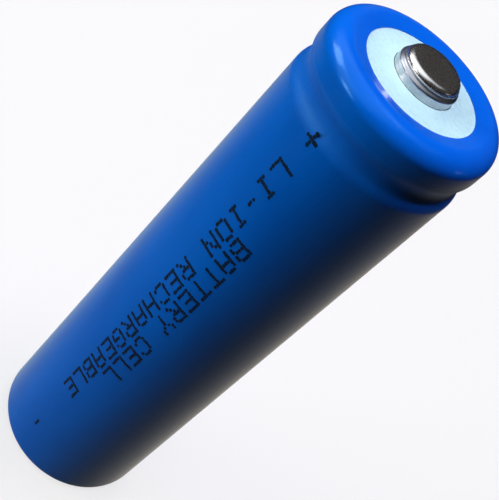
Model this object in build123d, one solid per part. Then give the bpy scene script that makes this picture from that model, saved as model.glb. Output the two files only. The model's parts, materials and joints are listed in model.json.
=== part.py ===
from build123d import *
import math
import os

# A wrapped cylindrical lithium-ion cell, 18 mm class, with a raised button terminal.
# Millimetres. The cell stands on its negative end: the origin is the centre of that end,
# and +Z runs along the axis to the button.
# Inside the crimped steel can: a wound roll of two electrodes and two separators round a
# hollow pin, and above the can's bead the header: vent disc, PTC ring and vented cap.

# ---- driving dimensions -------------------------------------------------------------
CAN_R = 9.10              # outside radius of the bare can
CAN_WALL = 0.20
SLEEVE_T = 0.10           # shrink sleeve
RIM_R = 9.09              # the can's outside radius above the bead
RIM_BEND = 1.50           # outside bend of the crimp
BEAD_Z = 60.50            # middle of the rolled bead
BEAD_R = 7.85             # outside radius at the bottom of the bead
RIM_CENTRE_Z = 63.45      # height of the crimp bend's centre
CRIMP_SLOPE = 12.5        # degrees that the crimped lip dips towards the axis
CRIMP_EDGE_R = 6.70       # free edge of the crimped lip
BASE_CORNER = 0.60
PAD_R = 7.20              # stamped contact pad in the middle of the can's base
PAD_DROP = 0.05

LIP_TOP_R = 5.875         # the sleeve's free edge round the positive end
LIP_BASE_R = 7.35         # the sleeve's free edge round the negative end
SLEEVE_RIM_BEND = 1.75
SLEEVE_NECK_R = 8.76      # how far the shrunk sleeve dips into the bead

WASHER_T = 0.18
WASHER_OUT_R = 7.05
WASHER_HOLE_R = 3.30

BUTTON_SHEET = 0.20
BUTTON_FLANGE_R = 4.30
BUTTON_BASE_R = 3.13      # foot of the button's collar
BUTTON_COLLAR_R = 3.10    # top of the collar
BUTTON_COLLAR_Z = 65.82
BUTTON_WAIST_R = 2.80     # the narrowest place, above the collar
BUTTON_WAIST_Z = 66.08
BUTTON_LEDGE_R = 2.84     # small ledge under the crown
BUTTON_LEDGE_Z = 66.24
BUTTON_CROWN_R = 2.75     # foot of the crown, inside the ledge
BUTTON_SHOULDER_R = 2.66
BUTTON_SHOULDER_Z = 66.74
BUTTON_SHOULDER_BEND = 0.58
BUTTON_FLAT_R = 1.87      # the contact face
BUTTON_TOP_Z = 66.82

GASKET_T = 0.50
GASKET_FLOOR = 0.67
GASKET_LIP_R = 6.30       # the gasket's free edge above the header
VENT_SHEET = 0.35
FOLD_EDGE_R = 7.20        # the vent disc's edge, folded over the cap
PTC_T = 0.40
PTC_FOIL = 0.05
PTC_HOLE_R = 5.40
CAP_SHEET = 0.50
CID_PLATE_T = 0.40
CID_PLATE_R = 5.95
CID_DROP = 0.77           # from the vent disc's flange down to the contact plate

CORE_R = 2.38             # hole in the middle of the roll
CATHODE_T = 0.14
ANODE_T = 0.14
SEPARATOR_T = 0.02
LAYER_GAP = 0.01          # film of electrolyte between layers
HALF_TURNS = 33
ROLL_BASE_Z = 0.80
ROLL_TOP_Z = 58.80
ANODE_MARGIN = 0.50       # the separators stand past the anode at both ends
CATHODE_MARGIN = 1.00     # and past the cathode
ROLL_ANGLE = -90          # puts the anode's bare last half turn at the negative tab

TAB_T = 0.10
POSITIVE_TAB_W = 3.0
POSITIVE_TAB_X = 1.54     # inner face of the positive tab, in the core
NEGATIVE_TAB_W = 3.5
NEGATIVE_TAB_X = 8.47     # inner face of the negative tab, on the anode's last turn
TAPE_T = 0.06

PIN_R = 1.40
PIN_WALL = 0.18

# ---- heights that follow ------------------------------------------------------------
CAN_BASE_Z = SLEEVE_T
FLOOR_Z = CAN_BASE_Z + CAN_WALL
CAN_INNER_R = CAN_R - CAN_WALL
NECK_INNER_R = RIM_R - CAN_WALL
GASKET_BASE_Z = 61.60
HEADER_Z = GASKET_BASE_Z + GASKET_FLOOR
PTC_Z = HEADER_Z + VENT_SHEET
CAP_Z = PTC_Z + PTC_T
FOLD_Z = CAP_Z + CAP_SHEET
HEADER_R = NECK_INNER_R - GASKET_T
STACK_R = HEADER_R - VENT_SHEET - 0.06
PLATEAU_Z = 64.40
FLANGE_Z = PLATEAU_Z + BUTTON_SHEET
CID_Z = HEADER_Z - CID_DROP
CID_BASE_Z = CID_Z - CID_PLATE_T
PITCH = CATHODE_T + ANODE_T + 2 * SEPARATOR_T + 4 * LAYER_GAP
SLOPE_TAN = math.tan(math.radians(CRIMP_SLOPE))
SLOPE_COS = math.cos(math.radians(CRIMP_SLOPE))


# ---- helpers ------------------------------------------------------------------------
def turned(points):
    """A ring turned from a closed outline of (radius, height) points."""
    outline = make_face(Polyline(*points, close=True))
    return revolve(Plane.XZ * outline, Axis.Z)


def sheet_outline(points, radii, thickness, side):
    """The section of a bent sheet: an outer line with rounded corners, thickened to one side."""
    line = FilletPolyline(*points, radius=radii)
    return make_face(offset(line, amount=thickness, side=side, closed=True))


def pressed(points, radii, thickness, side=Side.LEFT):
    """A round pressing whose outside follows (radius, height) points from the base up."""
    return revolve(Plane.XZ * sheet_outline(points, radii, thickness, side), Axis.Z)


def strip(points, radii, thickness, width, side):
    """A flat ribbon bent in the XZ plane, centred on it."""
    return extrude(Plane.XZ * sheet_outline(points, radii, thickness, side), width / 2, both=True)


def slope_height(bend, centre_r, radius):
    """Height at a radius of the sloping line that runs on from a bend round the rim."""
    return RIM_CENTRE_Z + bend / SLOPE_COS + (radius - centre_r) * SLOPE_TAN


def round_holes(count, circle_r, hole_r, low, high):
    """Cutters for a ring of round holes, a little longer than the stretch they pierce."""
    cutter = Cylinder(hole_r, high - low + 1)
    middle = (low + high) / 2
    return [Rot(0, 0, 360 * k / count) * Pos(circle_r, 0, middle) * cutter for k in range(count)]


# ---- can, sleeve and positive end ---------------------------------------------------
BEAD_HALF = 1.30          # half the bead's mouth
BEAD_FLAT = 0.45          # half its bottom
CAN_RIM_CENTRE_R = RIM_R - RIM_BEND


def can():
    corner_z = slope_height(RIM_BEND, CAN_RIM_CENTRE_R, RIM_R)
    line = [
        (0, CAN_BASE_Z),
        (CAN_R, CAN_BASE_Z),
        (CAN_R, BEAD_Z - BEAD_HALF),
        (BEAD_R, BEAD_Z - BEAD_FLAT),
        (BEAD_R, BEAD_Z + BEAD_FLAT),
        (RIM_R, BEAD_Z + BEAD_HALF),
        (RIM_R, corner_z),
        (CRIMP_EDGE_R, slope_height(RIM_BEND, CAN_RIM_CENTRE_R, CRIMP_EDGE_R)),
    ]
    bead_bend = 0.50
    shell = pressed(line, [BASE_CORNER, bead_bend, 0.40, 0.40, bead_bend, RIM_BEND], CAN_WALL)
    pad = Pos(0, 0, CAN_BASE_Z - PAD_DROP) * Cylinder(
        PAD_R, CAN_WALL, align=(Align.CENTER, Align.CENTER, Align.MIN)
    )
    return shell + pad


def sleeve():
    rim_r = RIM_R + SLEEVE_T
    centre_r = rim_r - SLEEVE_RIM_BEND
    flat_z = FLANGE_Z + WASHER_T + SLEEVE_T
    corner_z = slope_height(SLEEVE_RIM_BEND, centre_r, rim_r)
    line = [
        (LIP_BASE_R, 0),
        (CAN_R + SLEEVE_T, 0),
        (CAN_R + SLEEVE_T, BEAD_Z - BEAD_HALF),
        (SLEEVE_NECK_R, BEAD_Z - BEAD_FLAT),
        (SLEEVE_NECK_R, BEAD_Z + BEAD_FLAT),
        (rim_r, BEAD_Z + BEAD_HALF),
        (rim_r, corner_z),
        (LIP_TOP_R, max(flat_z, slope_height(SLEEVE_RIM_BEND, centre_r, LIP_TOP_R))),
    ]
    neck_bend = 1.00
    radii = [BASE_CORNER + SLEEVE_T, neck_bend, 1.6, 1.6, neck_bend, SLEEVE_RIM_BEND]
    return pressed(line, radii, SLEEVE_T)


def top_washer():
    def can_slope(radius):
        return slope_height(RIM_BEND, CAN_RIM_CENTRE_R, radius)

    knee_r = CAN_RIM_CENTRE_R - (can_slope(CAN_RIM_CENTRE_R) - FLANGE_Z) / SLOPE_TAN
    lift = WASHER_T / SLOPE_COS
    return turned(
        [
            (WASHER_HOLE_R, FLANGE_Z),
            (knee_r, FLANGE_Z),
            (WASHER_OUT_R, can_slope(WASHER_OUT_R)),
            (WASHER_OUT_R, can_slope(WASHER_OUT_R) + lift),
            (knee_r - WASHER_T * math.tan(math.radians(CRIMP_SLOPE / 2)), FLANGE_Z + WASHER_T),
            (WASHER_HOLE_R, FLANGE_Z + WASHER_T),
        ]
    )


def button_terminal():
    foot = [
        (BUTTON_FLANGE_R, FLANGE_Z),
        (BUTTON_BASE_R, FLANGE_Z),
        (BUTTON_COLLAR_R, BUTTON_COLLAR_Z),
        (BUTTON_WAIST_R, BUTTON_WAIST_Z),
        (BUTTON_LEDGE_R, BUTTON_LEDGE_Z),
    ]
    overlap = 0.06
    crown = [
        (BUTTON_CROWN_R, BUTTON_LEDGE_Z - overlap),
        (BUTTON_SHOULDER_R, BUTTON_SHOULDER_Z),
        (BUTTON_FLAT_R, BUTTON_TOP_Z),
        (0, BUTTON_TOP_Z),
    ]
    lower = pressed(foot, [0.20, 0.28, 0.24], BUTTON_SHEET)
    return lower + pressed(crown, [BUTTON_SHOULDER_BEND, 0.80], BUTTON_SHEET)


# ---- header: the stack that closes the can ------------------------------------------
def crimp_gasket():
    floor_in_r = 6.90
    floor_out_r = 8.30
    floor_chamfer = 0.50
    lip_slack = 0.08          # room under the crimp's free edge
    lip_z = FOLD_Z + VENT_SHEET
    bend = RIM_BEND - CAN_WALL
    crimp_underside = slope_height(RIM_BEND, CAN_RIM_CENTRE_R, CRIMP_EDGE_R) - CAN_WALL / SLOPE_COS
    inside = Polyline(
        (GASKET_LIP_R, crimp_underside - lip_slack),
        (GASKET_LIP_R, lip_z),
        (HEADER_R, lip_z),
        (HEADER_R, HEADER_Z),
        (floor_in_r, HEADER_Z),
        (floor_in_r, GASKET_BASE_Z),
        (floor_out_r, GASKET_BASE_Z),
        (NECK_INNER_R, GASKET_BASE_Z + floor_chamfer),
        (NECK_INNER_R, RIM_CENTRE_Z),
    )
    shoulder = CenterArc((CAN_RIM_CENTRE_R, RIM_CENTRE_Z), bend, 0, 90)
    section = make_face(Curve() + [inside, shoulder, Line(shoulder @ 1, inside @ 0)])
    return revolve(Plane.XZ * section, Axis.Z)


def vent_cap():
    """A raised cap: gas leaves through round holes in its sloping riser."""
    riser_foot_r = 6.10
    riser_top_r = 5.35
    hole_r = 0.45
    line = [(STACK_R, FOLD_Z), (riser_foot_r, FOLD_Z), (riser_top_r, PLATEAU_Z), (0, PLATEAU_Z)]
    cap = pressed(line, [0.25, 0.60], CAP_SHEET)
    return cap - round_holes(4, (riser_foot_r + riser_top_r) / 2, hole_r, CAP_Z, PLATEAU_Z)


def ptc_layer(low, high):
    return turned([(PTC_HOLE_R, low), (STACK_R, low), (STACK_R, high), (PTC_HOLE_R, high)])


def ptc_lower_foil():
    return ptc_layer(PTC_Z, PTC_Z + PTC_FOIL)


def ptc_polymer():
    return ptc_layer(PTC_Z + PTC_FOIL, CAP_Z - PTC_FOIL)


def ptc_upper_foil():
    return ptc_layer(CAP_Z - PTC_FOIL, CAP_Z)


def safety_vent_disc():
    """A dished disc, scored in a ring, with its edge folded over the stack."""
    boss_r = 1.30             # the flat boss that is welded to the contact plate
    knee_r, knee_z = 2.20, CID_Z + 0.36
    dish_r = 4.75
    score_r = 3.60
    score_depth = 0.16
    score_half_w = 0.10
    fold_top = FOLD_Z + VENT_SHEET
    line = [
        (0, CID_Z),
        (boss_r, CID_Z),
        (knee_r, knee_z),
        (dish_r, HEADER_Z),
        (HEADER_R, HEADER_Z),
        (HEADER_R, fold_top),
        (FOLD_EDGE_R, fold_top),
    ]
    disc = pressed(line, [0.60, 0.60, 0.60, 0.40, 0.40], VENT_SHEET)
    slope = (HEADER_Z - knee_z) / (dish_r - knee_r)
    top = knee_z + (score_r - knee_r) * slope + VENT_SHEET
    groove = turned(
        [
            (score_r, top - score_depth),
            (score_r + 2 * score_half_w, top + score_depth),
            (score_r - 2 * score_half_w, top + score_depth),
        ]
    )
    return disc - groove


def cid_insulator():
    """A stepped ring that holds the contact plate under the vent disc."""
    seat_r = 5.00
    outer_r = 6.70
    return turned(
        [
            (seat_r, CID_Z),
            (CID_PLATE_R, CID_Z),
            (CID_PLATE_R, CID_BASE_Z),
            (outer_r, CID_BASE_Z),
            (outer_r, HEADER_Z),
            (seat_r, HEADER_Z),
        ]
    )


def cid_contact_plate():
    gas_hole_r = 0.80
    gas_hole_circle_r = 3.70
    plate = turned([(0, CID_BASE_Z), (CID_PLATE_R, CID_BASE_Z), (CID_PLATE_R, CID_Z), (0, CID_Z)])
    return plate - round_holes(6, gas_hole_circle_r, gas_hole_r, CID_BASE_Z, CID_Z)


# ---- tabs, tapes, insulators and pin ------------------------------------------------
def positive_tab():
    """From the core, out over the roll, and back to the middle of the contact plate."""
    foot_z = 6.0
    run_z = 59.75
    knee_x = 4.90
    end_x = -1.80
    line = [
        (POSITIVE_TAB_X, foot_z),
        (POSITIVE_TAB_X, run_z),
        (knee_x, run_z),
        (knee_x, CID_BASE_Z - TAB_T),
        (end_x, CID_BASE_Z - TAB_T),
    ]
    return strip(line, [0.40, 0.40, 0.40], TAB_T, POSITIVE_TAB_W, Side.RIGHT)


def positive_tab_tape():
    """Tape wrapped round the positive tab where it leaves the roll."""
    low = 46.0
    high = 59.20
    wrap = Box(TAB_T + 2 * TAPE_T, POSITIVE_TAB_W + 2 * TAPE_T, high - low)
    tab = Box(TAB_T, POSITIVE_TAB_W, high - low)
    return Pos(POSITIVE_TAB_X + TAB_T / 2, 0, (low + high) / 2) * (wrap - tab)


def negative_tab():
    """Down beside the roll, and under it to the middle of the can's floor."""
    top_z = 44.0
    end_x = -1.60
    outer_x = NEGATIVE_TAB_X + TAB_T
    line = [(outer_x, top_z), (outer_x, FLOOR_Z), (end_x, FLOOR_Z)]
    return strip(line, [0.68], TAB_T, NEGATIVE_TAB_W, Side.RIGHT)


def negative_tab_tape():
    """A strip of tape that holds the negative tab to the roll."""
    middle_z = 35.0
    tape = Box(TAPE_T, NEGATIVE_TAB_W + 0.5, 10.0)
    return Pos(NEGATIVE_TAB_X + TAB_T + TAPE_T / 2, 0, middle_z) * tape


def upper_insulator():
    low, high = 58.95, 59.20
    hole_r, edge_r = 2.30, 8.55
    vent_circle_r, vent_r = 5.60, 0.90
    disc = turned([(hole_r, low), (edge_r, low), (edge_r, high), (hole_r, high)])
    return disc - round_holes(6, vent_circle_r, vent_r, low, high)


def lower_insulator():
    low, high = 0.62, 0.77
    hole_r, edge_r = 1.80, 8.20
    return turned([(hole_r, low), (edge_r, low), (edge_r, high), (hole_r, high)])


def center_pin():
    """A hollow spring pin, slit along its length, with tapered ends."""
    low, high = 2.5, 57.0
    taper, draw_in = 0.80, 0.25
    slit_w = 0.25
    inner = PIN_R - PIN_WALL
    tube = turned(
        [
            (inner - draw_in, low),
            (PIN_R - draw_in, low),
            (PIN_R, low + taper),
            (PIN_R, high - taper),
            (PIN_R - draw_in, high),
            (inner - draw_in, high),
            (inner, high - taper),
            (inner, low + taper),
        ]
    )
    return tube - Pos(-PIN_R, 0, (low + high) / 2) * Box(2 * PIN_R, slit_w, high)


def roll_closing_tape():
    """Holds the end of the winding; it stops short of the negative tab on both sides."""
    inner = 8.50
    low = ROLL_BASE_Z + CATHODE_MARGIN
    high = ROLL_TOP_Z - CATHODE_MARGIN
    full = turned([(inner, low), (inner + TAPE_T, low), (inner + TAPE_T, high), (inner, high)])
    gap_half_angle = 18
    reach = 2 * CAN_R
    rise = reach * math.tan(math.radians(gap_half_angle))
    wedge = make_face(Polyline((0, 0), (reach, rise), (reach, -rise), close=True))
    winding_middle = Pos(0.06, 0.07)
    return winding_middle * (full - extrude(wedge, ROLL_TOP_Z))


# ---- the wound roll -----------------------------------------------------------------
# Each layer is a spiral of half circles about two centres, so its faces are true arcs,
# and neighbouring layers keep one gap all the way round.
def spiral_edge(distance, first, last):
    """Half circles of the winding at a distance outside its inmost line."""
    arcs = []
    for k in range(first, last):
        radius = CORE_R + k * PITCH / 2 + distance
        centre = -PITCH / 4 if k % 2 == 0 else PITCH / 4
        arcs.append(CenterArc((centre, 0), radius, 180 * (k % 2), 180))
    return arcs


def wound_layer(distance, thickness, first, last, margin):
    inner = spiral_edge(distance, first, last)
    outer = spiral_edge(distance + thickness, first, last)
    ends = [Line(inner[0] @ 0, outer[0] @ 0), Line(inner[-1] @ 1, outer[-1] @ 1)]
    section = make_face(Wire([*inner, *outer, *ends]))
    low = ROLL_BASE_Z + margin
    height = ROLL_TOP_Z - ROLL_BASE_Z - 2 * margin
    return Rot(0, 0, ROLL_ANGLE) * Pos(0, 0, low) * extrude(section, height)


CATHODE_AT = 0
INNER_SEPARATOR_AT = CATHODE_AT + CATHODE_T + LAYER_GAP
ANODE_AT = INNER_SEPARATOR_AT + SEPARATOR_T + LAYER_GAP
OUTER_SEPARATOR_AT = ANODE_AT + ANODE_T + LAYER_GAP


def cathode_sheet():
    return wound_layer(CATHODE_AT, CATHODE_T, 0, HALF_TURNS - 1, CATHODE_MARGIN)


def inner_separator():
    return wound_layer(INNER_SEPARATOR_AT, SEPARATOR_T, 0, HALF_TURNS, 0)


def anode_sheet():
    return wound_layer(ANODE_AT, ANODE_T, 1, HALF_TURNS, ANODE_MARGIN)


def outer_separator():
    return wound_layer(OUTER_SEPARATOR_AT, SEPARATOR_T, 0, HALF_TURNS - 1, 0)


# ---- every piece, one file each -----------------------------------------------------
PIECES = [
    sleeve,
    top_washer,
    button_terminal,
    can,
    crimp_gasket,
    vent_cap,
    ptc_lower_foil,
    ptc_polymer,
    ptc_upper_foil,
    safety_vent_disc,
    cid_insulator,
    cid_contact_plate,
    positive_tab,
    positive_tab_tape,
    upper_insulator,
    center_pin,
    cathode_sheet,
    inner_separator,
    anode_sheet,
    outer_separator,
    roll_closing_tape,
    negative_tab,
    negative_tab_tape,
    lower_insulator,
]

os.makedirs("parts", exist_ok=True)
for make_piece in PIECES:
    piece = make_piece()
    export_step(piece, f"parts/{make_piece.__name__}.step")
    box = piece.bounding_box()
    print(f"{make_piece.__name__:20s} {piece.volume:9.2f} mm3, z {box.min.Z:7.3f} to {box.max.Z:7.3f}")
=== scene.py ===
import json
import math
import random

import bmesh
import bpy
from mathutils import Matrix, Vector, noise


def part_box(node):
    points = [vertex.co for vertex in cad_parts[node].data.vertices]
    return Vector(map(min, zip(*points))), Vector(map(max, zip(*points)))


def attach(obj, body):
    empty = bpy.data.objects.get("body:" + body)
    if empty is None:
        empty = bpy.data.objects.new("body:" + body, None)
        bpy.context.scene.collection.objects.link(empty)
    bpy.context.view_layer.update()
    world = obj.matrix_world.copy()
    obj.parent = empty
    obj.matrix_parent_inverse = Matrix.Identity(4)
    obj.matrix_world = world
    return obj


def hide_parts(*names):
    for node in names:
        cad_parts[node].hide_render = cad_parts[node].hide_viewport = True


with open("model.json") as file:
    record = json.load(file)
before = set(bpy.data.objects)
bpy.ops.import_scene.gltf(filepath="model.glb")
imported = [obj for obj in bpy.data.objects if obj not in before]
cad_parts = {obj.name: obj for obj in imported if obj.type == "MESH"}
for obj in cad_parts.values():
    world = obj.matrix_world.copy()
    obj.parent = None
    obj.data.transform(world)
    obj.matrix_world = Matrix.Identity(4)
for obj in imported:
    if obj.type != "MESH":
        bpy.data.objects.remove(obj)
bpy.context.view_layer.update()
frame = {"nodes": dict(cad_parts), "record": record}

# The looks of a wrapped cylindrical cell. Lengths are in millimetres, as in the CAD, and become
# metres where a mesh or the camera is made. Only the lights' distances and sizes are in metres.
MM = 0.001


# ---- the cell's dimensions ----------------------------------------------------------
def reach(node):
    """A round node's outer radius, lowest height and highest height."""
    low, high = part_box(node)
    return high.x / MM, low.z / MM, high.z / MM


SLEEVE_R, SLEEVE_BASE_Z, SLEEVE_TOP_Z = reach("sleeve")
WASHER_R, FLANGE_Z, WASHER_TOP_Z = reach("top_washer")
BUTTON_FLANGE_R, BUTTON_LOW_Z, BUTTON_TOP_Z = reach("button_terminal")
CAN_R, CAN_LOW_Z, CAN_TOP_Z = reach("can")

# The sleeve, and the rim and neck that it follows.
SLEEVE_T = 0.10
SLEEVE_INSET = 0.012      # keeps the uneven film and its ink inside the CAD's box
RIM_R = SLEEVE_R - 0.01
RIM_BEND = 1.75
BASE_BEND = 0.70
NECK_Z = SLEEVE_TOP_Z - 4.70
NECK_R = 8.76
NECK_HALF = 1.30          # half the groove's height
NECK_FLAT = 0.45          # half the height of its flat bottom
LIP_TOP_R = 5.875
LIP_BASE_R = 7.35
CRIMP_SLOPE = math.radians(12.5)

# The can: its bead lies inside the neck, and a stamped pad stands out from its base.
CAN_WALL = 0.20
CAN_CRIMP_R = 6.70
BEAD_R = 7.85
PAD_R = 7.20
PAD_DROP = 0.05

# The washer under the sleeve's lip.
WASHER_T = 0.18
WASHER_HOLE_R = 3.16
WASHER_RAMP_R = 4.40      # inside this, the film rises towards its hole
WASHER_RAMP = 0.05
WASHER_RISE = 0.26
WASHER_CUT = 0.06         # height of the hole's cut edge
WASHER_UNDER_R = 3.42

# The button, from its foot to its flat.
BUTTON_FOOT_R = 3.13
COLLAR_R, COLLAR_Z = 3.10, 65.82
WAIST_R, WAIST_Z = 2.80, 66.08
LEDGE_R, LEDGE_Z = 2.84, 66.24
CROWN_R = 2.75
CROWN_STEP = 0.035        # from the ledge up to the crown's foot
SHOULDER_R, SHOULDER_Z = 2.66, 66.74
FLAT_R = 1.87
BUTTON_SHEET = 0.20


def crimp_height(radius, rim_r, top_z, bend):
    """The crimp's height at a radius: a slope that leaves the rim's bend on a tangent."""
    bend_top = top_z - bend + bend / math.cos(CRIMP_SLOPE)
    return bend_top + (radius - rim_r + bend) * math.tan(CRIMP_SLOPE)


# ---- mesh helpers -------------------------------------------------------------------
def rounded(points, bends, step=math.radians(6)):
    """A line through points of (radius, height), each inner corner turned into an arc."""
    corners = [Vector(p) for p in points]
    line = [corners[0]]
    for before, corner, after, bend in zip(corners, corners[1:], corners[2:], bends):
        back = (before - corner).normalized()
        on = (after - corner).normalized()
        half = back.angle(on) / 2
        centre = corner + (back + on).normalized() * bend / math.sin(half)
        start = corner + back * bend / math.tan(half) - centre
        end = corner + on * bend / math.tan(half) - centre
        turn = -start.angle_signed(end)
        steps = max(2, math.ceil(abs(turn) / step))
        line += [centre + Matrix.Rotation(turn * k / steps, 2) @ start for k in range(steps + 1)]
    return line + [corners[-1]]


def divided(line, step):
    """The same line, with no run longer than step."""
    out = [line[0]]
    for a, b in zip(line, line[1:]):
        parts = max(1, math.ceil((b - a).length / step))
        out += [a.lerp(b, k / parts) for k in range(1, parts + 1)]
    return out


def thickened(line, thickness):
    """A closed outline: the line, then a parallel one on its left."""
    other = []
    for k, point in enumerate(line):
        along = (line[min(k + 1, len(line) - 1)] - line[max(k - 1, 0)]).normalized()
        other.append(point + Vector((-along.y, along.x)) * thickness)
    return line + other[::-1]


def metres(radius, angle, height):
    """A point x, y, z in metres, from its radius and height in millimetres."""
    return radius * math.cos(angle) * MM, radius * math.sin(angle) * MM, height * MM


def lathe(name, outline, segments, reshape, crease=math.radians(35)):
    """A closed outline of (radius, height) turned about the axis; reshape(r, z, angle) bends it."""
    bm = bmesh.new()
    rings = []
    for radius, height in outline:
        count = segments if radius > 1e-6 else 1
        ring = []
        for k in range(count):
            angle = 2 * math.pi * k / segments
            r, z = reshape(radius, height, angle)
            ring.append(bm.verts.new(metres(r, angle, z)))
        rings.append(ring)
    bridge(bm, rings + rings[:1], segments)
    bmesh.ops.recalc_face_normals(bm, faces=bm.faces)
    return finished(name, bm, crease)


def bridge(bm, rings, segments):
    """Faces between each ring and the next; a ring of one point makes triangles."""
    for lower, upper in zip(rings, rings[1:]):
        if len(lower) == len(upper) == 1:
            continue
        for k in range(segments):
            j = (k + 1) % segments
            corners = [lower[k % len(lower)], lower[j % len(lower)]]
            corners += [upper[j % len(upper)], upper[k % len(upper)]]
            bm.faces.new(list(dict.fromkeys(corners)))


def finished(name, bm, crease=math.radians(35)):
    """The mesh as an object, smooth but for edges sharper than the crease."""
    mesh = bpy.data.meshes.new(name)
    bm.to_mesh(mesh)
    bm.free()
    mesh.shade_smooth()
    mesh.set_sharp_from_angle(angle=crease)
    piece = bpy.data.objects.new(name, mesh)
    bpy.context.scene.collection.objects.link(piece)
    return piece


def uneven(angle, height, around, along, seed=0.0):
    """Smooth noise on the cell's wall, from -1 to 1, that closes on itself round the axis."""
    place = (around * math.cos(angle), around * math.sin(angle), along * height + seed)
    return noise.noise(Vector(place))


def near(value, middle, width):
    """1 at the middle, falling smoothly to 0 at the width."""
    return max(0.0, 1.0 - ((value - middle) / width) ** 2) ** 2


# ---- materials ----------------------------------------------------------------------
class Nodes:
    """A node tree, with short ways to add to it."""

    def __init__(self, tree):
        self.tree = tree

    def node(self, kind, **settings):
        made = self.tree.nodes.new(kind)
        for key, value in settings.items():
            setattr(made, key, value)
        return made

    def join(self, output, socket):
        self.tree.links.new(output, socket)

    def math(self, operation, first, second):
        """Arithmetic on two values; each is a number or another node's output."""
        made = self.node("ShaderNodeMath", operation=operation)
        for socket, value in zip(made.inputs, (first, second)):
            if isinstance(value, (int, float)):
                socket.default_value = value
            else:
                self.join(value, socket)
        return made.outputs["Value"]

    def spread(self, value, low, high, to_low=0.0, to_high=1.0):
        """The value's stretch from low to high, mapped smoothly to another one."""
        made = self.node("ShaderNodeMapRange", interpolation_type="SMOOTHSTEP")
        self.join(value, made.inputs["Value"])
        made.inputs["From Min"].default_value = low
        made.inputs["From Max"].default_value = high
        made.inputs["To Min"].default_value = to_low
        made.inputs["To Max"].default_value = to_high
        return made.outputs["Result"]

    def blend(self, factor, first, second):
        """A colour between two; each is a colour or another node's output."""
        made = self.node("ShaderNodeMix", data_type="RGBA")
        self.join(factor, made.inputs["Factor"])
        for socket, colour in ((made.inputs[6], first), (made.inputs[7], second)):
            if isinstance(colour, tuple):
                socket.default_value = (*colour, 1)
            else:
                self.join(colour, socket)
        return made.outputs[2]


class Look(Nodes):
    """A procedural material: textures in millimetres on the piece's own axes."""

    def __init__(self, name, **constants):
        self.material = bpy.data.materials.new(name)
        self.material.use_nodes = True
        super().__init__(self.material.node_tree)
        self.shader = self.tree.nodes["Principled BSDF"]
        for socket, value in constants.items():
            self.shader.inputs[socket.replace("_", " ")].default_value = value
        self.place = self.node("ShaderNodeTexCoord").outputs["Object"]

    def stretched(self, x, y, z):
        """Coordinates that hold this many units per millimetre along each axis."""
        mapping = self.node("ShaderNodeMapping")
        mapping.inputs["Scale"].default_value = (x / MM, y / MM, z / MM)
        self.join(self.place, mapping.inputs["Vector"])
        return mapping.outputs["Vector"]

    def apart(self):
        """The x, y and z coordinates, in metres."""
        parts = self.node("ShaderNodeSeparateXYZ")
        self.join(self.place, parts.inputs["Vector"])
        return parts.outputs["X"], parts.outputs["Y"], parts.outputs["Z"]

    def radius(self):
        """Distance from the cell's axis, in millimetres."""
        flat = self.node("ShaderNodeVectorMath", operation="MULTIPLY")
        flat.inputs[1].default_value = (1 / MM, 1 / MM, 0)
        self.join(self.place, flat.inputs[0])
        length = self.node("ShaderNodeVectorMath", operation="LENGTH")
        self.join(flat.outputs["Vector"], length.inputs[0])
        return length.outputs["Value"]

    def polar(self, across, around, along):
        """Coordinates of (radius, angle, height), for marks that run round the axis."""
        x, y, z = self.apart()
        joined = self.node("ShaderNodeCombineXYZ")
        self.join(self.math("MULTIPLY", self.radius(), across), joined.inputs["X"])
        self.join(self.math("MULTIPLY", self.math("ARCTAN2", y, x), around), joined.inputs["Y"])
        self.join(self.math("MULTIPLY", z, along / MM), joined.inputs["Z"])
        return joined.outputs["Vector"]

    def band(self, low, high, soft):
        """1 between two heights in millimetres, fading to 0 over the soft edge outside each."""
        height = self.math("MULTIPLY", self.apart()[2], 1 / MM)
        above = self.spread(height, low - soft, low)
        below = self.spread(height, high, high + soft, 1, 0)
        return self.math("MINIMUM", above, below)

    def noise(self, place, detail=2.0, rough=0.5, warp=0.0):
        made = self.node("ShaderNodeTexNoise")
        made.inputs["Scale"].default_value = 1.0
        made.inputs["Detail"].default_value = detail
        made.inputs["Roughness"].default_value = rough
        made.inputs["Distortion"].default_value = warp
        self.join(place, made.inputs["Vector"])
        return made.outputs["Fac"]

    def colour(self, output):
        self.join(output, self.shader.inputs["Base Color"])

    def roughness(self, output):
        self.join(output, self.shader.inputs["Roughness"])

    def bumps(self, *layers):
        """Surface relief, layer on layer; each is (height output, depth in millimetres)."""
        below = None
        for height, depth in layers:
            made = self.node("ShaderNodeBump")
            made.inputs["Distance"].default_value = depth * MM
            self.join(height, made.inputs["Height"])
            if below:
                self.join(below, made.inputs["Normal"])
            below = made.outputs["Normal"]
        self.join(below, self.shader.inputs["Normal"])


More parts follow.
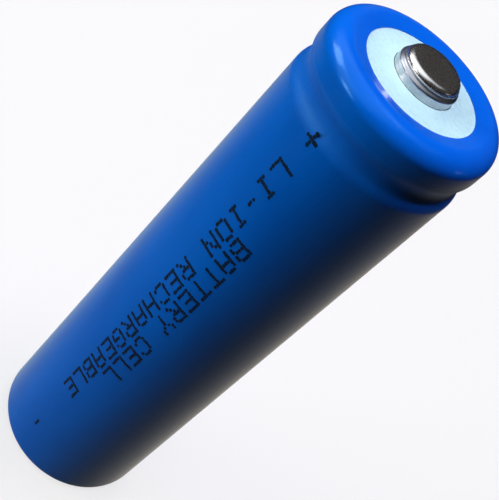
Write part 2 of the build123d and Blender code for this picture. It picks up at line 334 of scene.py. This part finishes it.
def shrink_film():
    """Blue PVC shrink film: glossy but for the puckered neck, with draw lines, orange peel and dust."""
    look = Look("pvc_sleeve", Specular_IOR_Level=0.30, Specular_Tint=(0.26, 0.76, 1.0, 1.0))
    cloud = look.noise(look.stretched(0.12, 0.12, 0.05), detail=3)
    draw = look.noise(look.polar(0, 22, 0.06), detail=3, rough=0.6)
    peel = look.noise(look.stretched(1.6, 1.6, 1.2), detail=2)
    dust = look.noise(look.stretched(3.2, 3.2, 3.2), detail=1)
    scuff = look.noise(look.stretched(1.0, 1.0, 0.22), detail=4, rough=0.7, warp=0.6)
    body = look.blend(look.spread(cloud, 0.35, 0.65), (0.0004, 0.126, 0.73), (0.0007, 0.149, 0.83))
    lined = look.blend(look.spread(draw, 0.60, 0.80, 0, 0.20), body, (0.003, 0.195, 0.90))
    look.colour(look.blend(look.spread(dust, 0.82, 0.88, 0, 0.16), lined, (0.12, 0.28, 0.70)))
    scuffed = look.spread(scuff, 0.35, 0.75, 0.12, 0.21)
    pucker = look.math("MULTIPLY", look.band(NECK_Z - NECK_HALF, NECK_Z + NECK_HALF, 0.8), 0.34)
    look.roughness(look.math("ADD", scuffed, pucker))
    look.bumps((peel, 0.010), (draw, 0.006))
    return look.material


def white_film():
    """The washer under the sleeve's lip: white film, faintly fibrous, with a soft gloss."""
    look = Look("white_film", Specular_IOR_Level=0.45)
    cloud = look.noise(look.stretched(0.5, 0.5, 0.5), detail=3)
    fibre = look.noise(look.stretched(2.2, 7.0, 4.0), detail=4, rough=0.6, warp=0.8)
    look.colour(look.blend(look.spread(cloud, 0.35, 0.65), (0.60, 0.95, 0.98), (0.63, 0.98, 0.99)))
    look.roughness(look.spread(fibre, 0.3, 0.7, 0.24, 0.34))
    look.bumps((fibre, 0.0012), (cloud, 0.010))
    return look.material


def button_nickel():
    """Bright nickel on pressed steel: fine draw marks, a sandy bloom, scratches, and a rougher groove at
    the waist with painted shade darkening its colour.
    """
    look = Look("button_nickel", Metallic=1.0)
    sand = look.noise(look.stretched(9, 9, 9), detail=3, rough=0.7)
    ring = look.noise(look.polar(9, 1.2, 9), detail=2)
    cloud = look.noise(look.stretched(0.9, 0.9, 0.9), detail=3)
    scratch = look.noise(look.stretched(14, 0.8, 1.2), detail=2, warp=0.3)
    tone = look.blend(look.spread(cloud, 0.35, 0.65), (0.56, 0.53, 0.535), (0.62, 0.59, 0.59))
    # Painted shade: the groove between collar and ledge is darkened to grey-blue in the colour; only its
    # extra roughness is the metal's own.
    groove = look.band(COLLAR_Z - 0.06, LEDGE_Z - 0.03, 0.03)
    waist_painted_shade = look.blend(look.math("MULTIPLY", groove, 0.75), tone, (0.20, 0.22, 0.26))
    look.colour(look.blend(look.spread(scratch, 0.64, 0.74, 0, 0.35), waist_painted_shade, (0.40, 0.38, 0.35)))
    sanded = look.spread(sand, 0.3, 0.7, 0.19, 0.30)
    look.roughness(look.math("ADD", sanded, look.math("MULTIPLY", groove, 0.12)))
    look.bumps((sand, 0.0013), (ring, 0.0026))
    return look.material


def plated_steel(name, tint, worn, rough=(0.22, 0.38)):
    """Nickel-plated sheet steel: turned or rolled marks, cloudy plating and rubbed spots."""
    look = Look(name, Metallic=1.0)
    turned = look.noise(look.polar(6, 0.8, 6), detail=3, rough=0.6)
    cloud = look.noise(look.stretched(0.35, 0.35, 0.35), detail=4)
    rub = look.noise(look.stretched(1.8, 0.5, 0.7), detail=4, rough=0.7, warp=0.5)
    tone = look.blend(look.spread(cloud, 0.3, 0.7), tint, tuple(0.9 * c for c in tint))
    look.colour(look.blend(look.spread(rub, 0.58, 0.74, 0, 0.5), tone, worn))
    look.roughness(look.spread(rub, 0.35, 0.7, *rough))
    look.bumps((turned, 0.004), (cloud, 0.010))
    return look.material


def rolled_metal(name, tint, grain, rough=(0.26, 0.40)):
    """Rolled ribbon, foil or stamped sheet; grain is the marks' units per millimetre along x, y, z."""
    look = Look(name, Metallic=1.0)
    lines = look.noise(look.stretched(*grain), detail=3, rough=0.65)
    cloud = look.noise(look.stretched(0.5, 0.5, 0.3), detail=3)
    tone = look.blend(look.spread(cloud, 0.3, 0.7), tint, tuple(0.86 * c for c in tint))
    look.colour(look.blend(look.spread(lines, 0.55, 0.75, 0, 0.3), tone, tuple(0.7 * c for c in tint)))
    look.roughness(look.spread(lines, 0.3, 0.7, *rough))
    look.bumps((lines, 0.004))
    return look.material


def moulded(name, dark, light, rough=(0.38, 0.52), **constants):
    """Moulded or sheet plastic: fine texture and cloudy pigment."""
    look = Look(name, **constants)
    cloud = look.noise(look.stretched(0.4, 0.4, 0.4), detail=3, warp=0.4)
    fine = look.noise(look.stretched(2.4, 2.4, 2.4), detail=4, rough=0.65)
    look.colour(look.blend(look.spread(cloud, 0.3, 0.7), dark, light))
    look.roughness(look.spread(fine, 0.3, 0.7, *rough))
    look.bumps((fine, 0.010))
    return look.material


def tape(name, dark, light):
    """Adhesive tape: tinted glossy backing with faint stretch lines."""
    look = Look(name, Specular_IOR_Level=0.5, Coat_Weight=0.35, Coat_Roughness=0.12)
    lines = look.noise(look.polar(0, 2.0, 4.5), detail=3)
    cloud = look.noise(look.stretched(0.7, 0.7, 0.25), detail=2)
    look.colour(look.blend(look.spread(cloud, 0.3, 0.7), dark, light))
    look.roughness(look.spread(lines, 0.3, 0.7, 0.20, 0.34))
    look.bumps((lines, 0.004))
    return look.material


def electrode(name, dark, light, foil, rough):
    """A coated electrode: fine particles, streaks along the winding and bare foil at pinholes."""
    look = Look(name, Specular_IOR_Level=0.4)
    grain = look.noise(look.stretched(12, 12, 12), detail=4, rough=0.75)
    streak = look.noise(look.polar(0, 3.0, 1.2), detail=4, rough=0.6)
    pores = look.noise(look.stretched(5, 5, 5), detail=1)
    tone = look.blend(look.spread(grain, 0.3, 0.7), dark, light)
    streaked = look.blend(look.spread(streak, 0.5, 0.8, 0, 0.35), tone, tuple(1.5 * c for c in light))
    look.colour(look.blend(look.spread(pores, 0.82, 0.86, 0, 0.8), streaked, foil))
    look.roughness(look.spread(grain, 0.3, 0.7, *rough))
    look.bumps((grain, 0.008), (streak, 0.006))
    return look.material


def insulator_board():
    """Woven glass in resin: a plain weave 0.4 mm across, in dark green."""
    look = Look("insulator_board", Specular_IOR_Level=0.5)
    warp, weft = (
        look.node("ShaderNodeTexWave", wave_type="BANDS", bands_direction=axis, wave_profile="SIN")
        for axis in "XY"
    )
    for thread in (warp, weft):
        thread.inputs["Scale"].default_value = 0.8
        thread.inputs["Distortion"].default_value = 0.6
        look.join(look.stretched(1, 1, 1), thread.inputs["Vector"])
    weave = look.math("MULTIPLY", warp.outputs["Fac"], weft.outputs["Fac"])
    cloud = look.noise(look.stretched(0.6, 0.6, 0.6), detail=3)
    tone = look.blend(look.spread(cloud, 0.3, 0.7), (0.015, 0.055, 0.035), (0.03, 0.09, 0.06))
    look.colour(look.blend(look.spread(weave, 0.2, 0.9, 0, 0.6), tone, (0.10, 0.20, 0.14)))
    look.roughness(look.spread(cloud, 0.3, 0.7, 0.35, 0.5))
    look.bumps((weave, 0.02))
    return look.material


def separator_film():
    """Porous polyolefin film: white, silky, stretched across the web."""
    look = Look("separator_film", Specular_IOR_Level=0.4, Subsurface_Weight=0.15)
    look.shader.inputs["Subsurface Radius"].default_value = (0.0004, 0.0004, 0.0004)
    pores = look.noise(look.stretched(10, 10, 26), detail=3, rough=0.7)
    sheen = look.noise(look.polar(0, 6, 0.4), detail=3)
    look.colour(look.blend(look.spread(sheen, 0.3, 0.7), (0.78, 0.79, 0.80), (0.88, 0.88, 0.87)))
    look.roughness(look.spread(pores, 0.3, 0.7, 0.42, 0.60))
    look.bumps((pores, 0.003), (sheen, 0.010))
    return look.material


def ink():
    """Dried jet ink, nearly black and a little mottled."""
    look = Look("print_ink", Specular_IOR_Level=0.25, Specular_Tint=(0.22, 0.62, 1.0, 1.0))
    cloud = look.noise(look.stretched(6, 6, 6), detail=3)
    look.colour(look.blend(look.spread(cloud, 0.35, 0.7), (0.003, 0.011, 0.040), (0.006, 0.024, 0.085)))
    look.roughness(look.spread(cloud, 0.3, 0.7, 0.32, 0.50))
    look.bumps((cloud, 0.003))
    return look.material


nickel = (0.66, 0.645, 0.61)
aluminium = (0.80, 0.81, 0.82)
copper = (0.60, 0.26, 0.13)
LOOKS = {
    "pvc_sleeve": shrink_film(),
    "white_film": white_film(),
    "button_nickel": button_nickel(),
    "can_steel": plated_steel("can_steel", (0.64, 0.63, 0.60), (0.50, 0.48, 0.45)),
    "gasket_polymer": moulded(
        "gasket_polymer", (0.52, 0.60, 0.64), (0.66, 0.72, 0.74), Transmission_Weight=0.15
    ),
    "cap_steel": plated_steel("cap_steel", nickel, (0.50, 0.48, 0.45), rough=(0.18, 0.32)),
    "ptc_black": moulded("ptc_black", (0.010, 0.010, 0.011), (0.028, 0.027, 0.026), rough=(0.45, 0.62)),
    "nickel_foil": rolled_metal("nickel_foil", (0.62, 0.60, 0.55), (8, 0.5, 8)),
    "vent_aluminium": plated_steel("vent_aluminium", aluminium, (0.62, 0.63, 0.64), rough=(0.28, 0.42)),
    "header_plastic": moulded("header_plastic", (0.30, 0.35, 0.30), (0.40, 0.44, 0.38)),
    "contact_aluminium": rolled_metal("contact_aluminium", aluminium, (0.5, 7, 7)),
    "tab_aluminium": rolled_metal("tab_aluminium", aluminium, (6, 9, 0.3)),
    "tab_nickel": rolled_metal("tab_nickel", (0.60, 0.58, 0.53), (6, 9, 0.3)),
    "amber_tape": tape("amber_tape", (0.42, 0.14, 0.012), (0.56, 0.22, 0.02)),
    "green_tape": tape("green_tape", (0.02, 0.16, 0.07), (0.04, 0.24, 0.11)),
    "insulator_board": insulator_board(),
    "white_insulator": moulded(
        "white_insulator", (0.72, 0.72, 0.68), (0.82, 0.82, 0.78), rough=(0.35, 0.5)
    ),
    "pin_steel": rolled_metal("pin_steel", (0.50, 0.50, 0.50), (7, 7, 0.25)),
    "cathode_coat": electrode(
        "cathode_coat", (0.012, 0.012, 0.014), (0.030, 0.030, 0.033), aluminium, (0.55, 0.75)
    ),
    "anode_coat": electrode(
        "anode_coat", (0.020, 0.020, 0.022), (0.050, 0.050, 0.053), copper, (0.32, 0.55)
    ),
    "separator_film": separator_film(),
}
SLOT_OF = {part["node"]: part["material_slot"] for part in frame["record"]["subparts"]}
for node_name, piece in frame["nodes"].items():
    for slot in piece.material_slots:
        slot.material = LOOKS[SLOT_OF[node_name]]


def stands_for(piece, node_name):
    """Gives a detailed piece its node's look and body, and hides the node it stands for."""
    piece.data.materials.append(LOOKS[SLOT_OF[node_name]])
    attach(piece, "root")
    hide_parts(node_name)


# ---- sleeve -------------------------------------------------------------------------
def film_shift(height, angle):
    """How far the shrunk film lies off its true radius."""
    slack = 0.003 * uneven(angle, height, 2.2, 0.10)
    pucker = 0.016 * near(height, NECK_Z, NECK_HALF + 0.6) * uneven(angle, height, 26, 0.35, seed=7)
    return slack + pucker - SLEEVE_INSET


def film_reshape(radius, height, angle):
    """The film with its slack on the wall, and its two lips slightly ragged and lifted."""

    def round_axis(waves, seed):
        return uneven(angle, 0, waves, 0, seed)

    upper_lip = near(radius, LIP_TOP_R, 1.0) if height > NECK_Z else 0.0
    lower_lip = near(radius, LIP_BASE_R, 0.9) if height < BASE_BEND else 0.0
    ragged = upper_lip * (0.045 * round_axis(2.0, 3) + 0.012 * round_axis(14, 4))
    ragged += lower_lip * (0.10 * round_axis(2.4, 11) + 0.03 * round_axis(12, 12))
    lift = upper_lip * 0.010 * round_axis(7, 5)
    lift += lower_lip * 0.020 * (1 + round_axis(6, 13))
    slack = film_shift(height, angle) if radius > RIM_R - RIM_BEND else 0.0
    return radius + ragged + slack, height + lift


def sleeve():
    """The film from its lower lip up the wall, through the neck and over the rim to its upper lip."""

    def crimp(radius):
        return crimp_height(radius, RIM_R, SLEEVE_TOP_Z, RIM_BEND)

    line = rounded(
        [
            (LIP_BASE_R, SLEEVE_BASE_Z),
            (SLEEVE_R, SLEEVE_BASE_Z),
            (SLEEVE_R, NECK_Z - NECK_HALF),
            (NECK_R, NECK_Z - NECK_FLAT),
            (NECK_R, NECK_Z + NECK_FLAT),
            (RIM_R, NECK_Z + NECK_HALF),
            (RIM_R, crimp(RIM_R)),
            (LIP_TOP_R, crimp(LIP_TOP_R)),
        ],
        [BASE_BEND, 2.0, 1.8, 1.8, 2.0, RIM_BEND],
    )
    piece = lathe("sleeve_film", thickened(divided(line, 0.8), SLEEVE_T), 320, film_reshape)
    stands_for(piece, "sleeve")


# ---- washer and button --------------------------------------------------------------
def top_washer():
    """A ring of film: its cut inner edge rides up the fillet at the button's foot."""
    thick_on_slope = WASHER_T / math.cos(CRIMP_SLOPE)
    crimp_z = WASHER_TOP_Z - thick_on_slope
    knee_r = WASHER_R - (crimp_z - FLANGE_Z) / math.tan(CRIMP_SLOPE)
    top_z = FLANGE_Z + WASHER_T
    hole_z = top_z + WASHER_RISE

    def warp(radius, height, angle):
        cut = 0.015 * near(radius, WASHER_HOLE_R, 0.3) * uneven(angle, 0, 3, 0, seed=21)
        wave = 0.012 * near(radius, 4.6, 1.2) * (uneven(angle, 0, 1.6, 0, seed=22) - 1)
        return radius + cut, height + wave

    top = rounded(
        [
            (WASHER_HOLE_R, hole_z - WASHER_CUT),
            (WASHER_HOLE_R, hole_z),
            (WASHER_RAMP_R, top_z + WASHER_RAMP),
            (knee_r, top_z),
            (WASHER_R, crimp_z + thick_on_slope),
        ],
        [0.025, 3.0, 2.0],
    )
    under = rounded(
        [
            (WASHER_R, crimp_z),
            (knee_r, FLANGE_Z),
            (WASHER_UNDER_R, FLANGE_Z),
            (WASHER_HOLE_R, hole_z - WASHER_CUT),
        ],
        [2.0, 0.10],
    )
    outline = divided(top, 0.2) + divided(under, 0.5)[:-1]
    stands_for(lathe("washer_film", outline, 240, warp), "top_washer")


def button():
    """The pressed cap: a foot, a collar, a waist with a small ledge, and a rounded crown."""
    soft = 0.020
    outside = rounded(
        [
            (BUTTON_FLANGE_R, FLANGE_Z),
            (BUTTON_FOOT_R, FLANGE_Z),
            (COLLAR_R, COLLAR_Z),
            (WAIST_R, WAIST_Z),
            (LEDGE_R, LEDGE_Z),
            (CROWN_R, LEDGE_Z + CROWN_STEP),
            (SHOULDER_R, SHOULDER_Z),
            (FLAT_R, BUTTON_TOP_Z),
            (0, BUTTON_TOP_Z),
        ],
        [0.20, 0.28, 0.22, soft, soft, 0.55, 1.60],
    )
    inside = rounded(
        [
            (BUTTON_FLANGE_R, BUTTON_LOW_Z),
            (BUTTON_FOOT_R - BUTTON_SHEET, BUTTON_LOW_Z),
            (COLLAR_R - BUTTON_SHEET, COLLAR_Z),
            (WAIST_R - BUTTON_SHEET, WAIST_Z),
            (SHOULDER_R - BUTTON_SHEET, SHOULDER_Z - BUTTON_SHEET),
            (FLAT_R, BUTTON_TOP_Z - BUTTON_SHEET),
            (0, BUTTON_TOP_Z - BUTTON_SHEET),
        ],
        [0.40, 0.10, 0.30, 0.30, 0.60],
    )

    def pressed(radius, height, angle):
        """Tool marks: a very slight swell round the wall and a dish in the contact face."""
        swell = 0.004 * near(height, LEDGE_Z, 0.8) * uneven(angle, height, 2.0, 0.5, seed=31)
        dish = 0.010 * near(radius, 0, FLAT_R) if height > LEDGE_Z + 0.2 else 0.0
        return radius + (swell if radius > FLAT_R else 0), height - dish

    outline = divided(outside, 0.12) + divided(inside, 0.6)[::-1]
    stands_for(lathe("button_cap", outline, 192, pressed, crease=math.radians(60)), "button_terminal")


# ---- can: its stamped, welded base is what shows ------------------------------------
def can():
    """The shell under the sleeve: a stamped base, a wall, a bead and the crimped rim."""
    base_z = CAN_LOW_Z + PAD_DROP
    floor_z = base_z + CAN_WALL
    rim_r = RIM_R - SLEEVE_T
    inner_r = CAN_R - CAN_WALL
    inner_bead_r = BEAD_R - CAN_WALL
    bend = RIM_BEND - 0.25

    def crimp(radius):
        return crimp_height(radius, rim_r, CAN_TOP_Z, bend)

    outside = rounded(
        [
            (0, CAN_LOW_Z),
            (PAD_R, CAN_LOW_Z),
            (PAD_R + 0.05, base_z),
            (CAN_R, base_z),
            (CAN_R, NECK_Z - NECK_HALF),
            (BEAD_R, NECK_Z - NECK_FLAT),
            (BEAD_R, NECK_Z + NECK_FLAT),
            (rim_r, NECK_Z + NECK_HALF),
            (rim_r, crimp(rim_r)),
            (CAN_CRIMP_R, crimp(CAN_CRIMP_R)),
        ],
        [0.02, 0.02, BASE_BEND - SLEEVE_T, 0.5, 0.4, 0.4, 0.5, bend],
    )
    inside = rounded(
        [
            (0, floor_z),
            (inner_r, floor_z),
            (inner_r, NECK_Z - NECK_HALF),
            (inner_bead_r, NECK_Z - NECK_FLAT),
            (inner_bead_r, NECK_Z + NECK_FLAT),
            (rim_r - CAN_WALL, NECK_Z + NECK_HALF),
            (rim_r - CAN_WALL, crimp(rim_r) - CAN_WALL),
            (CAN_CRIMP_R, crimp(CAN_CRIMP_R) - CAN_WALL / math.cos(CRIMP_SLOPE)),
        ],
        [0.40, 0.5, 0.4, 0.4, 0.3, bend - CAN_WALL],
    )
    weld_place, weld_r, weld_depth = 1.1, 0.55, 0.045
    coin_place, coin_half, coin_depth = 5.4, 0.28, 0.030
    turns = (0.5, 0.5 + math.pi)
    welds = [(weld_place * math.cos(turn), weld_place * math.sin(turn)) for turn in turns]

    def stamped(radius, height, angle):
        """A coined ring and two weld dimples in the base."""
        if height > base_z or radius > PAD_R:
            return radius, height
        x, y = radius * math.cos(angle), radius * math.sin(angle)
        dimples = sum(near(math.hypot(x - a, y - b), 0, weld_r) for a, b in welds)
        ring = near(radius, coin_place, coin_half)
        return radius, height + weld_depth * dimples + coin_depth * ring

    outline = divided(outside[:2], 0.08) + divided(outside[2:], 1.5) + divided(inside, 1.5)[::-1]
    stands_for(lathe("can_shell", outline, 240, stamped), "can")


# ---- print on the sleeve ------------------------------------------------------------
GLYPHS = {
    "A": "01110/10001/10001/11111/10001/10001/10001",
    "B": "11110/10001/10001/11110/10001/10001/11110",
    "C": "01110/10001/10000/10000/10000/10001/01110",
    "E": "11111/10000/10000/11110/10000/10000/11111",
    "G": "01110/10001/10000/10111/10001/10001/01110",
    "H": "10001/10001/10001/11111/10001/10001/10001",
    "I": "01110/00100/00100/00100/00100/00100/01110",
    "L": "10000/10000/10000/10000/10000/10000/11111",
    "N": "10001/11001/10101/10101/10011/10001/10001",
    "O": "01110/10001/10001/10001/10001/10001/01110",
    "R": "11110/10001/10001/11110/10100/10010/10001",
    "T": "11111/00100/00100/00100/00100/00100/00100",
    "Y": "10001/10001/01010/00100/00100/00100/00100",
    "+": "00000/00100/00100/11111/00100/00100/00000",
    "-": "00000/00000/00000/01110/00000/00000/00000",
}
LETTER_PITCH = 2.20       # along the cell
DOT_ALONG = 0.355
DOT_ACROSS = 0.285
DROP_R = 0.195
DROP_STRETCH = 1.08       # drops run a little along the cell
DROP_SIDES = 12
PRINT_TOP_Z = 58.8


def drops(text, angle, start_z):
    """Every ink drop of a line, as (angle, height): it runs down the cell, its top towards +angle."""
    for place, letter in enumerate(text):
        for row, dots in enumerate(GLYPHS.get(letter, "").split("/")):
            for column, dot in enumerate(dots):
                if dot == "1":
                    along = start_z - place * LETTER_PITCH - (column - 2) * DOT_ALONG
                    yield angle + (3 - row) * DOT_ACROSS / SLEEVE_R, along


def printed(name, lines):
    """Low round drops of ink lying on the film; each is a few rings of (share of its radius, height)."""
    rng = random.Random(5)
    bm = bmesh.new()
    profile = [(1.0, -0.004), (0.96, 0.0025), (0.55, 0.005)]
    steps = [2 * math.pi * k / DROP_SIDES for k in range(DROP_SIDES)]
    for text, angle, start_z in lines:
        for turn, height in drops(text, math.radians(angle), start_z):
            turn += rng.gauss(0, 0.016) / SLEEVE_R
            height += rng.gauss(0, 0.020)
            size = DROP_R * rng.uniform(0.88, 1.10)
            film = SLEEVE_R + film_shift(height, turn)

            def on_film(across, along, lift):
                place = metres(film + lift, turn + across / SLEEVE_R, height + along)
                return bm.verts.new(place)

            def ring(share, lift):
                half = share * size
                long = DROP_STRETCH * half
                return [on_film(half * math.cos(s), long * math.sin(s), lift) for s in steps]

            under = [on_film(0, 0, -0.012)]
            sides = [ring(share, lift) for share, lift in profile]
            bridge(bm, [under, *sides, [on_film(0, 0, 0.006)]], DROP_SIDES)
    bmesh.ops.recalc_face_normals(bm, faces=bm.faces)
    piece = finished(name, bm, crease=math.radians(80))
    piece.data.materials.append(ink())
    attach(piece, "root")


sleeve()
top_washer()
button()
can()
printed(
    "sleeve_print",
    [
        ("+ LI-ION RECHARGEABLE   -", -108, PRINT_TOP_Z),
        ("BATTERY CELL", -93.5, PRINT_TOP_Z - 6 * LETTER_PITCH),
    ],
)


# ---- floor and backdrop -------------------------------------------------------------
def backdrop():
    """A pale seamless room: flat near the cell, rising into a wall and a ceiling all round."""
    flat_r, wall_r = 1200, 2600
    floor_z, ceiling_z = -0.02, 3000
    segments = 96
    bend = wall_r - flat_r
    corners = [(0, floor_z), (wall_r, floor_z), (wall_r, ceiling_z), (0, ceiling_z)]
    line = rounded(corners, [bend, bend])
    bm = bmesh.new()
    rings = []
    for radius, height in divided(line, 200):
        count = segments if radius > 0 else 1
        turns = [2 * math.pi * k / segments for k in range(count)]
        rings.append([bm.verts.new(metres(radius, turn, height)) for turn in turns])
    bridge(bm, rings[::-1], segments)
    piece = finished("backdrop", bm)

    look = Look("pale_floor", Specular_IOR_Level=0.1)
    grain = look.noise(look.stretched(0.02, 0.02, 0.02), detail=4)
    look.colour(look.blend(grain, (0.86, 0.855, 0.85), (0.90, 0.895, 0.89)))
    look.roughness(look.spread(grain, 0.3, 0.7, 0.7, 0.85))
    far = look.node("ShaderNodeVectorMath", operation="LENGTH")
    look.join(look.place, far.inputs[0])
    # Near the cell the floor takes its shadow; from 0.12 m to 0.45 m away it turns into an even glow.
    glow = look.node("ShaderNodeEmission")
    glow.inputs["Color"].default_value = (1.0, 1.0, 1.0, 1)
    lit = look.node("ShaderNodeMixShader")
    look.join(look.spread(far.outputs["Value"], 0.12, 0.45, 0.72, 0.985), lit.inputs["Fac"])
    look.join(look.shader.outputs["BSDF"], lit.inputs[1])
    look.join(glow.outputs["Emission"], lit.inputs[2])
    one_sided = look.node("ShaderNodeMixShader")
    look.join(look.node("ShaderNodeNewGeometry").outputs["Backfacing"], one_sided.inputs["Fac"])
    look.join(lit.outputs["Shader"], one_sided.inputs[1])
    look.join(look.node("ShaderNodeBsdfTransparent").outputs["BSDF"], one_sided.inputs[2])
    look.join(one_sided.outputs["Shader"], look.tree.nodes["Material Output"].inputs["Surface"])
    piece.data.materials.append(look.material)
    piece.visible_diffuse = False
    piece.visible_glossy = False
    piece.visible_shadow = False


# ---- light --------------------------------------------------------------------------
CENTRE = Vector((0, 0, SLEEVE_TOP_Z / 2 * MM))


def panel(name, azimuth, elevation, distance, size, strength, colour, mirrored=False):
    """A square light aimed at the cell, which either lights it or is only mirrored in it.

    Its distance and size are in metres. The strength is what a white card facing it shows, and a
    mirrored one is set as if it lit the card too.
    """
    a, e = math.radians(azimuth), math.radians(elevation)
    out = Vector((math.cos(e) * math.cos(a), math.cos(e) * math.sin(a), math.sin(e)))
    lamp = bpy.data.lights.new(name, "AREA")
    lamp.shape = "SQUARE"
    lamp.size = size
    lamp.energy = strength * (math.pi * distance) ** 2
    lamp.color = colour
    holder = bpy.data.objects.new(name, lamp)
    holder.location = CENTRE + out * distance
    holder.rotation_euler = out.to_track_quat("Z", "Y").to_euler()
    holder.visible_camera = False
    holder.visible_glossy = mirrored
    holder.visible_diffuse = not mirrored
    bpy.context.scene.collection.objects.link(holder)


def surroundings():
    """What the cell mirrors: a pale table behind it, a bright ceiling over its left, and a dark room."""
    world = bpy.data.worlds.new("studio")
    bpy.context.scene.world = world
    world.use_nodes = True
    world.cycles_visibility.diffuse = False
    sky = Nodes(world.node_tree)
    place = sky.node("ShaderNodeTexCoord").outputs["Generated"]

    def towards(x, y, z):
        """1 straight along a direction, 0 across it, -1 away from it."""
        made = sky.node("ShaderNodeVectorMath", operation="DOT_PRODUCT")
        sky.join(place, made.inputs[0])
        made.inputs[1].default_value = Vector((x, y, z)).normalized()
        return made.outputs["Value"]

    def shift(direction, low, high, first, second):
        """One colour up to low along a direction, another from high on."""
        return sky.blend(sky.spread(towards(*direction), low, high), first, second)

    right, down, up = (1, 0, 0), (0, 0, -1), (0, 0, 1)
    pale = shift(right, -0.3, 0.5, (0.42, 0.52, 0.53), (0.50, 0.45, 0.375))
    shaded = shift(right, 0.0, 0.7, (0.025, 0.028, 0.035), (0.20, 0.19, 0.17))
    under = shift(down, 0.55, 0.90, shaded, (0.26, 0.27, 0.27))
    table = shift((0.10, 1, 0), -0.30, 0.65, under, pale)
    dim = shift(up, 0.05, 0.45, (0.015, 0.015, 0.015), (0.060, 0.057, 0.052))
    room = shift((-0.55, -0.15, 0.82), 0.58, 0.92, dim, (1.70, 1.82, 1.86))
    both = shift(down, 0.30, 0.62, room, table)
    sky.join(both, sky.tree.nodes["Background"].inputs["Color"])


backdrop()
surroundings()
panel("key", -152, 21, 0.50, 0.34, 0.72, (1.0, 1.0, 0.84))
panel("overhead", 60, 86, 0.60, 0.19, 0.86, (0.84, 0.79, 0.98))
panel("table_bounce", -150, -32, 0.50, 0.40, 0.16, (1.0, 1.0, 0.95))
panel("back_fill", 100, 10, 0.60, 0.22, 0.42, (1.0, 0.99, 0.96))
panel("window", 180, 29, 0.50, 0.20, 0.45, (1.0, 0.96, 0.93), mirrored=True)
panel("window_front", -141, 10, 0.50, 0.09, 0.14, (1.0, 0.95, 0.93), mirrored=True)
panel("window_right", 5, 70, 0.50, 0.26, 0.055, (0.86, 0.95, 1.0), mirrored=True)
panel("lamp_front", -129, 8, 0.50, 0.04, 0.050, (1.0, 0.95, 0.90), mirrored=True)
panel("lamp_right", 12, 11, 0.50, 0.05, 0.010, (1.0, 0.95, 0.90), mirrored=True)


# ---- camera -------------------------------------------------------------------------
def camera():
    """Close to the cell, looking down past the button, rolled so that it lies across the frame."""
    elevation = math.radians(42.004)
    distance = 103.65
    pitch = math.radians(2.294)
    roll = math.radians(45.77)
    lens, sensor = 72.7776, 36
    sight_z = 33.5

    back = Vector((0, -math.cos(elevation), math.sin(elevation)))
    place = Vector((0, 0, sight_z)) + back * distance
    side = Vector((1, 0, 0))
    up = side.cross(-back)
    look = -back * math.cos(pitch) + up * math.sin(pitch)
    up = side.cross(look)
    right = side * math.cos(roll) + up * math.sin(roll)
    top = up * math.cos(roll) - side * math.sin(roll)

    data = bpy.data.cameras.new("camera")
    data.sensor_fit = "HORIZONTAL"
    data.sensor_width = sensor
    data.lens = lens
    data.clip_start = 0.005
    data.clip_end = 20
    holder = bpy.data.objects.new("camera", data)
    holder.matrix_world = Matrix.LocRotScale(place * MM, Matrix((right, top, -look)).transposed(), None)
    bpy.context.scene.collection.objects.link(holder)
    bpy.context.scene.camera = holder


camera()
bpy.context.scene.view_settings.view_transform = "Standard"
